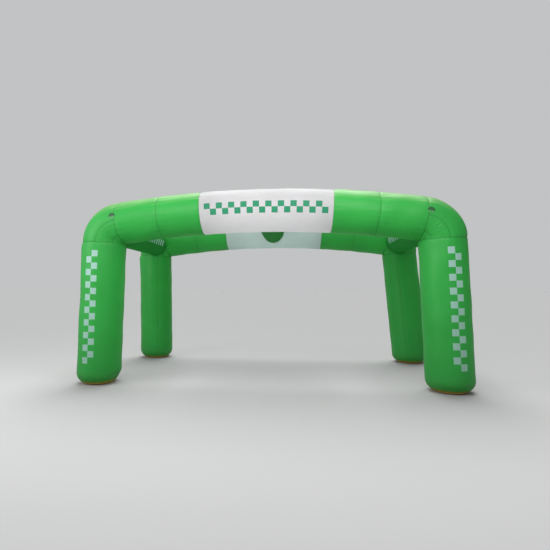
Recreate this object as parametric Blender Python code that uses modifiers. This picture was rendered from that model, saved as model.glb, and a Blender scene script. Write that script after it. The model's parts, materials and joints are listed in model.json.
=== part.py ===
"""Inflatable arch on four legs, blown up and standing on the ground.

Two equal arches stand one behind the other. Each is one round tube of coated cloth, sewn from
lengths: leg, gored elbow, two green beam pieces, a long white panel, two green beam pieces,
elbow, leg. Two side tubes join the elbows and a cross tube joins the middles of the panels.
Metres, +Z up, +X to the right and -Y to the front as one walks up to it. The origin is on the
ground, under the middle of the whole arch.
"""

import math

import bmesh
import bpy
from mathutils import Matrix, Vector

# ---------------------------------------------------------------- driving sizes

SPAN = 6.94  # between the axes of the two legs of an arch, at the leg-top seams
DEPTH = 3.40  # between the planes of the two arches
SEAM_HEIGHT = 2.935  # of the leg-top seams
LEG_LEAN = math.radians(2.0)  # the legs spread by this towards the ground
BEAM_SLOPE = math.radians(8.25)  # of the beam's ends: the beam is a shallow arc between them

BEAM_RADIUS = 0.44
LEG_RADIUS = 0.448
ELBOW_BEND = 0.451  # radius of the elbow's axis, so its inside corner is all but sharp
SIDE_TUBE_RADIUS = 0.31
SIDE_TUBE_RAISE = 0.03  # of its axis over the middle of the elbow's axis
CROSS_TUBE_RADIUS = 0.295
CROSS_TUBE_DROP = 0.03  # of its axis under the beam's axis

BEAM_LENGTHS = 7  # equal lengths of cloth along a beam
PANEL_LENGTHS = 3  # of them, in the middle, are the one white panel

FOOT_ROUND = 0.24  # radius of the rounding from the leg's side to the ground
FOOT_CLOTH_HEIGHT = 0.045  # how far the heavy foot cloth comes up the rounding

SEAM_DRAW_IN = 0.010  # how much a blown-up tube draws in at a sewn seam
SEAM_REACH = 0.060  # how far from the seam its radius is full again

GAP = 0.0003  # between pieces that are sewn or laid together
SIDES = 24  # of every round tube
END_STEP = 0.004  # the first stretch of a tube, which sets the plane of its end

# Where each foot stands, against an even layout: the legs are put down by hand.
FEET = (
    # arch, side, x off, y off
    ("front", "left", 0.01, 0.02),
    ("front", "right", -0.03, -0.06),
    ("back", "left", 0.12, 0.09),
    ("back", "right", 0.10, -0.14),
)

# The guy points: a half-round patch with a strap loop that holds a steel ring.
PATCH_FROM_SEAM = 0.030  # along the elbow from the beam seam
PATCH_TURN = math.radians(13.5)  # up round the tube from its outermost line
PATCH_RADIUS = 0.068
PATCH_SKIRT = 0.008  # how far its straight edge lies below the middle of its round one
PATCH_THICK = 0.0025
PATCH_SEAT = 0.0008  # how far it is drawn in with the seam under it
STRAP_WIDTH = 0.024
STRAP_THICK = 0.0016
STRAP_TAIL = 0.032
RING_RADIUS = 0.030  # to the middle of the wire
RING_WIRE = 0.003
RING_TILT = math.radians(7.0)
RING_ROOM = 0.0008  # between the wire and the strap folded round it
STRAP_SLACK = 0.004  # how far the fold hangs below the wire, so the round ring clears its edges

# ---------------------------------------------------------------- worked-out sizes

ARCHES = {"front": -1, "back": 1}
HANDS = {"left": -1, "right": 1}

ELBOW_TURN = math.pi / 2 - BEAM_SLOPE - LEG_LEAN
ELBOW_LENGTH = ELBOW_BEND * ELBOW_TURN
ELBOW_CENTRE = Vector(
    (
        SPAN / 2 - ELBOW_BEND * math.cos(LEG_LEAN),
        SEAM_HEIGHT - ELBOW_BEND * math.sin(LEG_LEAN),
    )
)
BEAM_END = ELBOW_CENTRE + ELBOW_BEND * Vector((math.sin(BEAM_SLOPE), math.cos(BEAM_SLOPE)))
BEAM_CURVE = BEAM_END.x / math.sin(BEAM_SLOPE)  # radius of the beam's shallow arc
BEAM_HALF = BEAM_CURVE * BEAM_SLOPE
BEAM_CENTRE_HEIGHT = BEAM_END.y - BEAM_CURVE * math.cos(BEAM_SLOPE)
BEAM_MID_HEIGHT = BEAM_CENTRE_HEIGHT + BEAM_CURVE
LENGTH = (2 * BEAM_HALF - GAP) / BEAM_LENGTHS
FOOT_X = SPAN / 2 + SEAM_HEIGHT * math.tan(LEG_LEAN)
FLAT_RADIUS = LEG_RADIUS - FOOT_ROUND  # of the part of a foot that lies on the ground


def middle_of(low, high):
    return (low + high) / 2


FOOT_AT = {
    (arch, hand): (HANDS[hand] * FOOT_X + x_off, ARCHES[arch] * DEPTH / 2 + y_off)
    for arch, hand, x_off, y_off in FEET
}
MIDDLE = Vector(
    (
        middle_of(
            min(x for x, _ in FOOT_AT.values()),
            max(x for x, _ in FOOT_AT.values()),
        ),
        middle_of(
            min(y for _, y in FOOT_AT.values()),
            max(y for _, y in FOOT_AT.values()),
        ),
        0.0,
    )
)

# ---------------------------------------------------------------- scene and materials

for old in list(bpy.data.objects):
    bpy.data.objects.remove(old)

parts = bpy.data.collections.new("inflatable_arch")
cutters = bpy.data.collections.new("cutters")
bpy.context.scene.collection.children.link(parts)
bpy.context.scene.collection.children.link(cutters)


def finish(name, colour, roughness, metallic=0.0):
    material = bpy.data.materials.new(name)
    material.use_nodes = True
    shader = material.node_tree.nodes["Principled BSDF"]
    shader.inputs["Base Color"].default_value = (*colour, 1.0)
    shader.inputs["Roughness"].default_value = roughness
    shader.inputs["Metallic"].default_value = metallic
    return material


GREEN_CLOTH = finish("green_cloth", (0.045, 0.30, 0.075), 0.45)
WHITE_CLOTH = finish("white_cloth", (0.72, 0.72, 0.70), 0.5)
LINK_CLOTH = finish("link_cloth", (0.035, 0.24, 0.065), 0.45)
FOOT_CLOTH = finish("foot_cloth", (0.30, 0.17, 0.05), 0.6)
GUY_CLOTH = finish("guy_cloth", (0.02, 0.15, 0.05), 0.7)
STEEL = finish("ring_steel", (0.62, 0.62, 0.60), 0.3, 1.0)

# ---------------------------------------------------------------- the arch's centre line


def arch_axis(distance):
    """Point (x, z) and outward normal of the right half's axis, this far from mid beam."""
    if distance <= BEAM_HALF:
        turn = distance / BEAM_CURVE
        centre, radius = Vector((0.0, BEAM_CENTRE_HEIGHT)), BEAM_CURVE
    else:
        turn = BEAM_SLOPE + (distance - BEAM_HALF) / ELBOW_BEND
        centre, radius = ELBOW_CENTRE, ELBOW_BEND
    normal = Vector((math.sin(turn), math.cos(turn)))
    return centre + radius * normal, normal


def place(arch, flat, hand=1):
    """An (x, z) point of the arch's plane in the world."""
    return Vector((hand * flat.x, ARCHES[arch] * DEPTH / 2, flat.y)) - MIDDLE


def station(arch, distance, radius):
    """Centre, direction and radius of a section; a negative distance is on the left."""
    hand = 1 if distance >= 0 else -1
    point, normal = arch_axis(abs(distance))
    forward = Vector((normal.y, 0.0, -normal.x * hand))
    return place(arch, point, hand), forward, radius


def tube_stations(start, end, steps):
    """Distances for a tube's sections: its two ends, just inside them, and even steps between."""
    inner = [start + SEAM_REACH, end - SEAM_REACH]
    even = [inner[0] + (inner[1] - inner[0]) * step / steps for step in range(1, steps)]
    return [start, inner[0], *even, inner[1], end]


# ---------------------------------------------------------------- tubes


def tube(name, sections, material):
    """A tube through (centre, direction, radius) sections, with flat ends square to it."""
    first, last = sections[0], sections[-1]
    body = [(centre, radius) for centre, _, radius in sections]
    body.insert(1, (first[0] + first[1] * END_STEP, first[2]))
    body.insert(-1, (last[0] - last[1] * END_STEP, last[2]))
    data = bpy.data.curves.new(name, "CURVE")
    data.dimensions = "3D"
    data.bevel_depth = 1.0
    data.bevel_resolution = SIDES // 2 - 2
    data.use_fill_caps = True
    line = data.splines.new("POLY")
    line.points.add(len(body) - 1)
    for point, (centre, radius) in zip(line.points, body):
        point.co = (*centre, 1.0)
        point.radius = radius
    data.materials.append(material)
    obj = bpy.data.objects.new(name, data)
    parts.objects.link(obj)
    return obj


def arch_tube(name, arch, start, end, steps, radius, material):
    """A length of the beam's tube between two distances from mid beam, drawn in at its ends."""
    distances = tube_stations(start + GAP / 2, end - GAP / 2, steps)
    radii = [radius - SEAM_DRAW_IN, *[radius] * (steps + 1), radius - SEAM_DRAW_IN]
    sections = [station(arch, distance, r) for distance, r in zip(distances, radii)]
    return tube(name, sections, material)


def add_mesh(name, shape, matrix, material):
    mesh = bpy.data.meshes.new(name)
    shape.to_mesh(mesh)
    shape.free()
    mesh.materials.append(material)
    obj = bpy.data.objects.new(name, mesh)
    obj.matrix_world = matrix
    parts.objects.link(obj)
    return obj


def as_mesh(obj):
    """The curve made a closed mesh, so that it can be cut or can cut."""
    bpy.context.view_layer.update()
    graph = bpy.context.evaluated_depsgraph_get()
    mesh = bpy.data.meshes.new_from_object(obj.evaluated_get(graph))
    shape = bmesh.new()
    shape.from_mesh(mesh)
    bmesh.ops.remove_doubles(shape, verts=shape.verts, dist=0.00001)
    bmesh.ops.recalc_face_normals(shape, faces=shape.faces)
    shape.to_mesh(mesh)
    shape.free()
    name, matrix = obj.name, obj.matrix_world.copy()
    bpy.data.objects.remove(obj)
    made = bpy.data.objects.new(name, mesh)
    made.matrix_world = matrix
    parts.objects.link(made)
    return made


def cut(obj, cutter):
    """Cuts one mesh object by another, which becomes a hidden helper."""
    parts.objects.unlink(cutter)
    cutters.objects.link(cutter)
    cutter.hide_render = True
    cutter.display_type = "WIRE"
    boolean = obj.modifiers.new("cut_" + cutter.name, "BOOLEAN")
    boolean.operation = "DIFFERENCE"
    boolean.object = cutter


# ---------------------------------------------------------------- beams

BEAM_PIECES = (
    # name, first seam, last seam, in lengths of cloth from mid beam
    ("beam_left_outer", -3.5, -2.5),
    ("beam_left_inner", -2.5, -1.5),
    ("beam_right_inner", 1.5, 2.5),
    ("beam_right_outer", 2.5, 3.5),
)
GREEN_STEPS = 1
PANEL_STEPS = 6


def make_beam(arch):
    for name, start, end in BEAM_PIECES:
        arch_tube(
            f"{arch}_{name}", arch, start * LENGTH, end * LENGTH, GREEN_STEPS, BEAM_RADIUS, GREEN_CLOTH
        )
    half = PANEL_LENGTHS / 2 * LENGTH
    arch_tube(f"{arch}_panel", arch, -half, half, PANEL_STEPS, BEAM_RADIUS, WHITE_CLOTH)


# ---------------------------------------------------------------- elbows

ELBOW_STEPS = 8


def elbow_shape(arch, hand, radius, draw_in):
    """A disc at the beam seam, spun round the bend to the leg-top seam."""
    side = HANDS[hand]
    normal = Vector((side * math.sin(BEAM_SLOPE), 0.0, math.cos(BEAM_SLOPE)))
    out = Vector((0.0, 1.0, 0.0))
    frame = Matrix((normal, out, normal.cross(out))).transposed().to_4x4()
    frame = Matrix.Translation(place(arch, BEAM_END, side)) @ frame
    shape = bmesh.new()
    bmesh.ops.create_circle(shape, cap_ends=True, segments=SIDES, radius=radius, matrix=frame)
    bmesh.ops.spin(
        shape,
        geom=shape.verts[:] + shape.edges[:] + shape.faces[:],
        cent=place(arch, ELBOW_CENTRE, side),
        axis=out,
        angle=side * ELBOW_TURN,
        steps=ELBOW_STEPS,
        use_duplicate=False,
    )
    bmesh.ops.recalc_face_normals(shape, faces=shape.faces)
    for cap in [face for face in shape.faces if len(face.verts) == SIDES]:
        middle = cap.calc_center_median()
        for vert in cap.verts:
            vert.co = middle + (vert.co - middle) * (1 - draw_in / radius)
    return shape


def make_elbow(arch, hand):
    shape = elbow_shape(arch, hand, BEAM_RADIUS, SEAM_DRAW_IN)
    add_mesh(f"{arch}_elbow_{hand}", shape, Matrix.Identity(4), GREEN_CLOTH)


# ---------------------------------------------------------------- legs and feet

FOOT_STEPS = 4  # sections of the leg round its foot's rounding
FOOT_CLOTH_STEPS = 2  # and of the foot cloth under it


def foot_radius(height):
    """Radius of a leg at a height inside the rounding of its foot."""
    if height >= FOOT_ROUND:
        return LEG_RADIUS
    return FLAT_RADIUS + math.sqrt(FOOT_ROUND**2 - (FOOT_ROUND - height) ** 2)


def rounding_heights(low, high, steps):
    """Heights on the foot's rounding at even turns between two heights."""
    from_turn = math.acos(1 - low / FOOT_ROUND)
    to_turn = math.acos(1 - high / FOOT_ROUND)
    turns = [from_turn + (to_turn - from_turn) * i / steps for i in range(steps + 1)]
    return [FOOT_ROUND * (1 - math.cos(turn)) for turn in turns]


def make_leg(arch, hand):
    """A leg, plumb where it rounds into its foot and straight from there to its seam."""
    top = place(arch, Vector((SPAN / 2, SEAM_HEIGHT)), HANDS[hand])
    lean = Vector((-HANDS[hand] * math.sin(LEG_LEAN), 0.0, math.cos(LEG_LEAN)))
    foot = Vector((*FOOT_AT[arch, hand], 0.0)) - MIDDLE
    up = Vector((0.0, 0.0, 1.0))
    sections = []
    for height in rounding_heights(FOOT_CLOTH_HEIGHT + GAP, FOOT_ROUND, FOOT_STEPS):
        sections.append((foot + up * height, up, foot_radius(height)))
    knee = sections[-1][0]
    seam = top - lean * GAP
    sections.append((knee.lerp(top, 0.5), lean, LEG_RADIUS))
    sections.append((seam - lean * SEAM_REACH, lean, LEG_RADIUS))
    sections.append((seam, lean, LEG_RADIUS - SEAM_DRAW_IN))
    tube(f"{arch}_leg_{hand}", sections, GREEN_CLOTH)


def make_foot_cloth(arch, hand):
    """The shallow dish of heavy cloth that closes a leg, flat on the ground."""
    profile = bmesh.new()
    outline = [(0.0, FOOT_CLOTH_HEIGHT)]
    for height in reversed(rounding_heights(0.0, FOOT_CLOTH_HEIGHT, FOOT_CLOTH_STEPS)):
        outline.append((foot_radius(height), height))
    outline.append((0.0, 0.0))
    verts = [profile.verts.new((x, 0.0, z)) for x, z in outline]
    for a, b in zip(verts, verts[1:]):
        profile.edges.new((a, b))
    mesh = bpy.data.meshes.new(f"{arch}_foot_{hand}")
    profile.to_mesh(mesh)
    profile.free()
    mesh.materials.append(FOOT_CLOTH)
    obj = bpy.data.objects.new(f"{arch}_foot_{hand}", mesh)
    obj.location = Vector((*FOOT_AT[arch, hand], 0.0)) - MIDDLE
    parts.objects.link(obj)
    turned = obj.modifiers.new("turned", "SCREW")
    turned.steps = SIDES
    turned.render_steps = SIDES
    turned.use_merge_vertices = True
    turned.merge_threshold = 0.00005


# ---------------------------------------------------------------- tubes between the arches


def make_side_tube(hand):
    """From elbow to elbow, with ends cut to the elbows' round faces."""
    middle, _ = arch_axis(BEAM_HALF + ELBOW_LENGTH / 2)
    axis = Vector((middle.x, middle.y + SIDE_TUBE_RAISE))
    back = Vector((0.0, 1.0, 0.0))
    ends = [place(arch, axis, HANDS[hand]) for arch in ("front", "back")]
    sections = [(ends[0].lerp(ends[1], share), back, SIDE_TUBE_RADIUS) for share in (0.0, 0.5, 1.0)]
    obj = as_mesh(tube(f"side_tube_{hand}", sections, LINK_CLOTH))
    for arch in ARCHES:
        shape = elbow_shape(arch, hand, BEAM_RADIUS + GAP, 0.0)
        for cap in [face for face in shape.faces if len(face.verts) == SIDES]:
            reach = cap.normal * SIDE_TUBE_RADIUS
            grown = bmesh.ops.extrude_discrete_faces(shape, faces=[cap])["faces"]
            bmesh.ops.translate(shape, verts=grown[0].verts, vec=reach)
        cut(obj, add_mesh(f"cut_side_{hand}_{arch}", shape, Matrix.Identity(4), LINK_CLOTH))


def make_cross_tube():
    """From panel to panel over the middle, with ends cut to the panels' round faces."""
    axis = Vector((0.0, BEAM_MID_HEIGHT - CROSS_TUBE_DROP))
    back = Vector((0.0, 1.0, 0.0))
    ends = [place(arch, axis) for arch in ("front", "back")]
    sections = [(ends[0].lerp(ends[1], share), back, CROSS_TUBE_RADIUS) for share in (0.0, 0.5, 1.0)]
    obj = as_mesh(tube("cross_tube", sections, LINK_CLOTH))
    half = PANEL_LENGTHS / 2 * LENGTH
    for arch in ARCHES:
        cutter = arch_tube(
            f"cut_cross_{arch}", arch, -half, half, PANEL_STEPS, BEAM_RADIUS + GAP, WHITE_CLOTH
        )
        cut(obj, as_mesh(cutter))


# ---------------------------------------------------------------- guy points


def guy_frame(arch, hand):
    """Local frame on the tube's face: X along the arch, Y up round the tube, Z outwards."""
    point, normal = arch_axis(BEAM_HALF + PATCH_FROM_SEAM)
    centre = place(arch, point, HANDS[hand])
    out = Vector((0.0, ARCHES[arch], 0.0))
    above = Vector((HANDS[hand] * normal.x, 0.0, normal.y))
    outward = out * math.cos(PATCH_TURN) + above * math.sin(PATCH_TURN)
    upward = above * math.cos(PATCH_TURN) - out * math.sin(PATCH_TURN)
    along = upward.cross(outward)
    turn = Matrix((along, upward, outward)).transposed().to_4x4()
    return Matrix.Translation(centre + outward * (BEAM_RADIUS + GAP - PATCH_SEAT)) @ turn


def solidify(obj, thickness, offset):
    shell = obj.modifiers.new("thickness", "SOLIDIFY")
    shell.thickness = thickness
    shell.offset = offset
    shell.use_even_offset = True


PATCH_STEPS = 9  # round its edge
PATCH_ROWS = 2  # from its straight edge up


def make_patch(name, frame):
    """A half-round patch, straight edge down, bent round the tube."""
    shape = bmesh.new()
    columns = []
    for step in range(PATCH_STEPS + 1):
        turn = math.pi * step / PATCH_STEPS
        height = PATCH_RADIUS * math.sin(turn) + PATCH_SKIRT
        column = []
        for row in range(PATCH_ROWS + 1):
            up = height * row / PATCH_ROWS - PATCH_SKIRT
            fall = BEAM_RADIUS - math.sqrt(BEAM_RADIUS**2 - up**2)
            column.append(shape.verts.new((PATCH_RADIUS * math.cos(turn), up, -fall)))
        columns.append(column)
    for one, two in zip(columns, columns[1:]):
        for row in range(PATCH_ROWS):
            shape.faces.new((one[row], one[row + 1], two[row + 1], two[row]))
    obj = add_mesh(name, shape, frame, GUY_CLOTH)
    solidify(obj, PATCH_THICK, 1.0)


FOLD_STEPS = 5


def make_strap(name, frame, ring_height):
    """A strap folded round the top of the ring, both its ends sewn to the patch."""
    reach = RING_WIRE + RING_ROOM + STRAP_THICK / 2
    back = ring_height - reach
    line = [(STRAP_TAIL, back)]
    for step in range(FOLD_STEPS + 1):
        turn = math.pi / 2 + math.pi * step / FOLD_STEPS
        line.append((reach * math.cos(turn) - STRAP_SLACK, ring_height - reach * math.sin(turn)))
    line.append((RING_WIRE, ring_height + reach))
    line.append((STRAP_TAIL, back + STRAP_THICK + GAP))
    shape = bmesh.new()
    sides = [
        [shape.verts.new((x, up, out)) for up, out in line]
        for x in (-STRAP_WIDTH / 2, STRAP_WIDTH / 2)
    ]
    for a, b, c, d in zip(sides[0], sides[0][1:], sides[1][1:], sides[1]):
        shape.faces.new((a, b, c, d))
    obj = add_mesh(name, shape, frame, GUY_CLOTH)
    solidify(obj, STRAP_THICK, 0.0)


def make_ring(name, frame, ring_height):
    """A round steel ring that hangs in the strap and leans on the cloth."""
    bpy.ops.mesh.primitive_torus_add(
        major_segments=16, minor_segments=6, major_radius=RING_RADIUS, minor_radius=RING_WIRE
    )
    obj = bpy.context.active_object
    obj.name = name
    obj.data.materials.append(STEEL)
    hang = Matrix.Rotation(RING_TILT, 4, "X") @ Matrix.Translation((0.0, -RING_RADIUS, 0.0))
    obj.matrix_world = frame @ Matrix.Translation((0.0, 0.0, ring_height)) @ hang
    for holder in list(obj.users_collection):
        holder.objects.unlink(obj)
    parts.objects.link(obj)


def make_guy_point(arch, hand):
    frame = guy_frame(arch, hand)
    ring_height = PATCH_THICK + GAP + STRAP_THICK + RING_ROOM + RING_WIRE
    make_patch(f"{arch}_guy_patch_{hand}", frame)
    make_strap(f"{arch}_guy_strap_{hand}", frame, ring_height)
    make_ring(f"{arch}_guy_ring_{hand}", frame, ring_height)


# ---------------------------------------------------------------- the whole arch

for arch_name in ARCHES:
    make_beam(arch_name)
    for hand_name in HANDS:
        make_elbow(arch_name, hand_name)
        make_leg(arch_name, hand_name)
        make_foot_cloth(arch_name, hand_name)
        make_guy_point(arch_name, hand_name)
for hand_name in HANDS:
    make_side_tube(hand_name)
make_cross_tube()
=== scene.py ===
# %% [markdown]
# # An inflatable arch
#
# Two big arches of coated cloth stand one behind the other. A blower keeps them full of air, so
# each is a soft round tube: leg, corner, shallow beam, corner, leg. Tubes join the arches at both
# corners and over the middle.
#
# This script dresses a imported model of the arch. The model's solids say where every piece is. The
# pieces made here have the same places, and add what a blown-up tube shows: seams that draw in,
# puckers beside them, pleats in a tight corner, prints, webbing and stitches.

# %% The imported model
import json
import math

import bpy
import numpy as np
from mathutils import Matrix, Vector

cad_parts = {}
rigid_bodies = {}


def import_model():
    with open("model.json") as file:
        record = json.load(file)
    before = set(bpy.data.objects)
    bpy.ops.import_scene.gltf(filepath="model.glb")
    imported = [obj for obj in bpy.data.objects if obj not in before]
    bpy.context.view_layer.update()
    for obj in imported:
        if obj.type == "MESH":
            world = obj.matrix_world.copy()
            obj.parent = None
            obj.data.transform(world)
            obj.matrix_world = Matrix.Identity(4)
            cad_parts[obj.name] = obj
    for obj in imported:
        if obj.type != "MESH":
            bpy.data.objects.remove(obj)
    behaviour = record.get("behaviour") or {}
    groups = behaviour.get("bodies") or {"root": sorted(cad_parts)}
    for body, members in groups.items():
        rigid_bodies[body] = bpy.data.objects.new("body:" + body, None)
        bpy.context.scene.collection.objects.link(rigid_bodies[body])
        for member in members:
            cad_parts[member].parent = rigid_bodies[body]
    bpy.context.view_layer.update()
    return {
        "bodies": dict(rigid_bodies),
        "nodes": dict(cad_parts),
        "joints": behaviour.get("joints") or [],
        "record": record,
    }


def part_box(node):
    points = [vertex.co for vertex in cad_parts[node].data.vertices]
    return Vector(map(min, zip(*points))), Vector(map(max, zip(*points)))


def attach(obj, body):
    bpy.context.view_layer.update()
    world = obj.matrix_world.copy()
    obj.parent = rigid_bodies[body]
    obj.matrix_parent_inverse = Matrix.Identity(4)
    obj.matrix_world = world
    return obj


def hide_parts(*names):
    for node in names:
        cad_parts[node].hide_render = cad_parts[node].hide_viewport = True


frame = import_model()

# %% [markdown]
# ## The camera
#
# The picture was taken by someone who stood about 8 m in front of the arch, a little right of its
# middle, with a wide lens. The lens's axis met the picture left of its centre, as it does when a
# picture has been cut from a larger one, so the camera has a small sideways shift.

# %% Camera
EYE = Vector((0.474, -10.313, 1.955))
LOOK_UP = math.radians(2.02)
LOOK_LEFT = math.radians(5.84)

camera_data = bpy.data.cameras.new("camera")
camera_data.sensor_width = 36.0
camera_data.lens = 27.49
camera_data.shift_x = 0.046
camera_data.clip_end = 500.0
camera = bpy.data.objects.new("camera", camera_data)
camera.location = EYE
camera.rotation_euler = (math.pi / 2 + LOOK_UP, 0.0, LOOK_LEFT)
bpy.context.scene.collection.objects.link(camera)
bpy.context.scene.camera = camera

# %% [markdown]
# ## Floor and light
#
# The arch stands on a pale floor that runs out of view on all sides, under a pale sky of the same
# tone. The picture shows the tops of the beams bright, the left legs lit more than the right, and
# the undersides dark. So a sun lamp, very wide and therefore soft, stands high behind the arch and
# lights the tops. Three round soft lamps stand in front: one far out on the left, and one facing
# each half of the front beam. The sky is brighter at its far left and darker at its far right, out
# of the camera's view, so that the arch's sides differ in tone as the picture's do.

# %% Floor
bpy.ops.object.select_all(action="DESELECT")
bpy.ops.mesh.primitive_circle_add(vertices=64, radius=400.0, fill_type="NGON", location=(0, 0, 0))
floor = bpy.context.object
floor.name = "floor"
pale = bpy.data.materials.new("pale_floor")
pale.use_nodes = True
pale_inputs = pale.node_tree.nodes["Principled BSDF"].inputs
pale_inputs["Base Color"].default_value = (0.335, 0.335, 0.335, 1)
pale_inputs["Roughness"].default_value = 1.0
pale_inputs["Specular IOR Level"].default_value = 0.0
floor.data.materials.append(pale)
print("floor", floor.name)

# %% Lights
top_data = bpy.data.lights.new("top_lamp", "SUN")
top_data.energy = 3.8
top_data.angle = math.radians(45.0)
AREA_LAMPS = (
    # name, place, aimed at, size, watts
    ("left_lamp", (-7.5, -5.5, 4.5), (-2.0, -1.7, 3.4), 5.0, 245.0),
    ("left_beam_lamp", (-2.4, -5.9, 5.2), (-1.7, -1.7, 3.8), 3.0, 125.0),
    ("right_beam_lamp", (1.9, -5.6, 5.6), (1.6, -1.7, 3.9), 3.0, 150.0),
)
lamps = [("top_lamp", top_data, (0.0, 4.2, 9.0), (0.0, 0.0, 0.0))]
for name, place, target, size, watts in AREA_LAMPS:
    lamp_data = bpy.data.lights.new(name, "AREA")
    lamp_data.shape = "DISK"
    lamp_data.size = size
    lamp_data.energy = watts
    lamps.append((name, lamp_data, place, target))
for name, lamp_data, place, target in lamps:
    lamp = bpy.data.objects.new(name, lamp_data)
    lamp.location = place
    lamp.rotation_euler = (Vector(target) - Vector(place)).to_track_quat("-Z", "Y").to_euler()
    bpy.context.scene.collection.objects.link(lamp)

SKY_STRENGTH = 0.55
SKY_LEFT = 1.6  # the far left of the sky against its middle
SKY_RIGHT = 0.35
SKY_STEPS = ((0.05, SKY_LEFT), (0.17, 1.0), (0.775, 1.0), (0.95, SKY_RIGHT))  # from left to right
world = bpy.data.worlds.new("pale_sky")
world.use_nodes = True
world.node_tree.nodes["Background"].inputs["Color"].default_value = (0.98, 0.99, 1.0, 1)
sky = world.node_tree.nodes
direction = sky.new("ShaderNodeTexCoord")
sideways = sky.new("ShaderNodeSeparateXYZ")
brightness = sky.new("ShaderNodeValToRGB")
strength = sky.new("ShaderNodeMath")
strength.operation = "MULTIPLY"
strength.inputs[1].default_value = SKY_STRENGTH * SKY_LEFT
shifted = sky.new("ShaderNodeMapRange")
shifted.inputs["From Min"].default_value = -1.0
while len(brightness.color_ramp.elements) < len(SKY_STEPS):
    brightness.color_ramp.elements.new(0.5)
for element, (position, level) in zip(brightness.color_ramp.elements, SKY_STEPS):
    element.position = position
    element.color = (level / SKY_LEFT, level / SKY_LEFT, level / SKY_LEFT, 1.0)
for source, target in (
    (direction.outputs["Generated"], sideways.inputs["Vector"]),
    (sideways.outputs["X"], shifted.inputs["Value"]),
    (shifted.outputs["Result"], brightness.inputs["Fac"]),
    (brightness.outputs["Color"], strength.inputs[0]),
    (strength.outputs["Value"], sky["Background"].inputs["Strength"]),
):
    world.node_tree.links.new(source, target)
bpy.context.scene.world = world
bpy.context.scene.view_settings.view_transform = "Standard"
print("lamps", len(lamps))

# %% [markdown]
# ## The line that the arches follow
#
# Seen from the front, half an arch is a long shallow arc, the beam, then a tight arc, the elbow,
# then a straight leg that leans out by 2 degrees. A point of the tube has three coordinates:
# how far along it is from mid beam, its angle round the tube, and its distance from the axis.
# Angle 0 is the outside of the bend, 90 degrees is the face that the arch shows to a visitor,
# 180 is the inside of the bend, and -90 is the face turned to the other arch.

# %% Sizes of an arch
SPAN = 6.94  # between the legs' axes at the leg-top seams
SEAM_HEIGHT = 2.935  # of the leg-top seams
LEG_LEAN = math.radians(2.0)
BEAM_SLOPE = math.radians(8.25)  # at the beam's ends
ELBOW_BEND = 0.451
LEG_RADIUS = 0.448
BEAM_LENGTHS = 7  # equal lengths of cloth from elbow to elbow
PANEL_LENGTHS = 3  # of them, in the middle, are white

ARCHES = {"front": -1, "back": 1}
HANDS = {"left": -1, "right": 1}


def middle_of(node):
    low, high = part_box(node)
    return (low + high) / 2


panel_low, panel_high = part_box("front_panel")
BEAM_RADIUS = (panel_high.y - panel_low.y) / 2
MIDDLE_X = middle_of("front_panel").x
ARCH_Y = {arch: middle_of(f"{arch}_panel").y for arch in ARCHES}

ELBOW_TURN = math.pi / 2 - BEAM_SLOPE - LEG_LEAN
ELBOW_LENGTH = ELBOW_BEND * ELBOW_TURN
ELBOW_X = SPAN / 2 - ELBOW_BEND * math.cos(LEG_LEAN)
ELBOW_Z = SEAM_HEIGHT - ELBOW_BEND * math.sin(LEG_LEAN)
BEAM_BEND = ELBOW_X / math.sin(BEAM_SLOPE) + ELBOW_BEND
BEAM_Z = ELBOW_Z - (BEAM_BEND - ELBOW_BEND) * math.cos(BEAM_SLOPE)  # of the arc's far centre
BEAM_HALF = BEAM_BEND * BEAM_SLOPE
ELBOW_END = BEAM_HALF + ELBOW_LENGTH
LENGTH = 2 * BEAM_HALF / BEAM_LENGTHS
print("beam radius", round(BEAM_RADIUS, 3), "cloth lengths", round(LENGTH, 3))
print("top by these sizes", round(BEAM_Z + BEAM_BEND + BEAM_RADIUS, 3))
print("top in the model", round(panel_high.z, 3))


# %% Between the tube's own coordinates and the world's
def axis_at(along):
    """The axis's point (x, z) and outward direction, this far from mid beam (left is negative)."""
    side, far = np.sign(along), np.abs(along)
    turn = np.minimum(far, BEAM_HALF) / BEAM_BEND
    bend = np.clip(far - BEAM_HALF, 0.0, ELBOW_LENGTH) / ELBOW_BEND
    down = np.maximum(far - ELBOW_END, 0.0)
    turn = turn + bend
    on_beam = far <= BEAM_HALF
    x = np.where(on_beam, 0.0, ELBOW_X) + np.where(on_beam, BEAM_BEND, ELBOW_BEND) * np.sin(turn)
    z = np.where(on_beam, BEAM_Z, ELBOW_Z) + np.where(on_beam, BEAM_BEND, ELBOW_BEND) * np.cos(turn)
    x, z = x + down * np.cos(turn), z - down * np.sin(turn)
    return MIDDLE_X + side * x, z, side * np.sin(turn), np.cos(turn)


def world_points(arch, along, angle, radius):
    x, z, out_x, out_z = axis_at(along)
    lift = radius * np.cos(angle)
    face = radius * np.sin(angle) * ARCHES[arch]
    return np.stack([x + lift * out_x, ARCH_Y[arch] + face, z + lift * out_z], axis=1)


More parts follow.
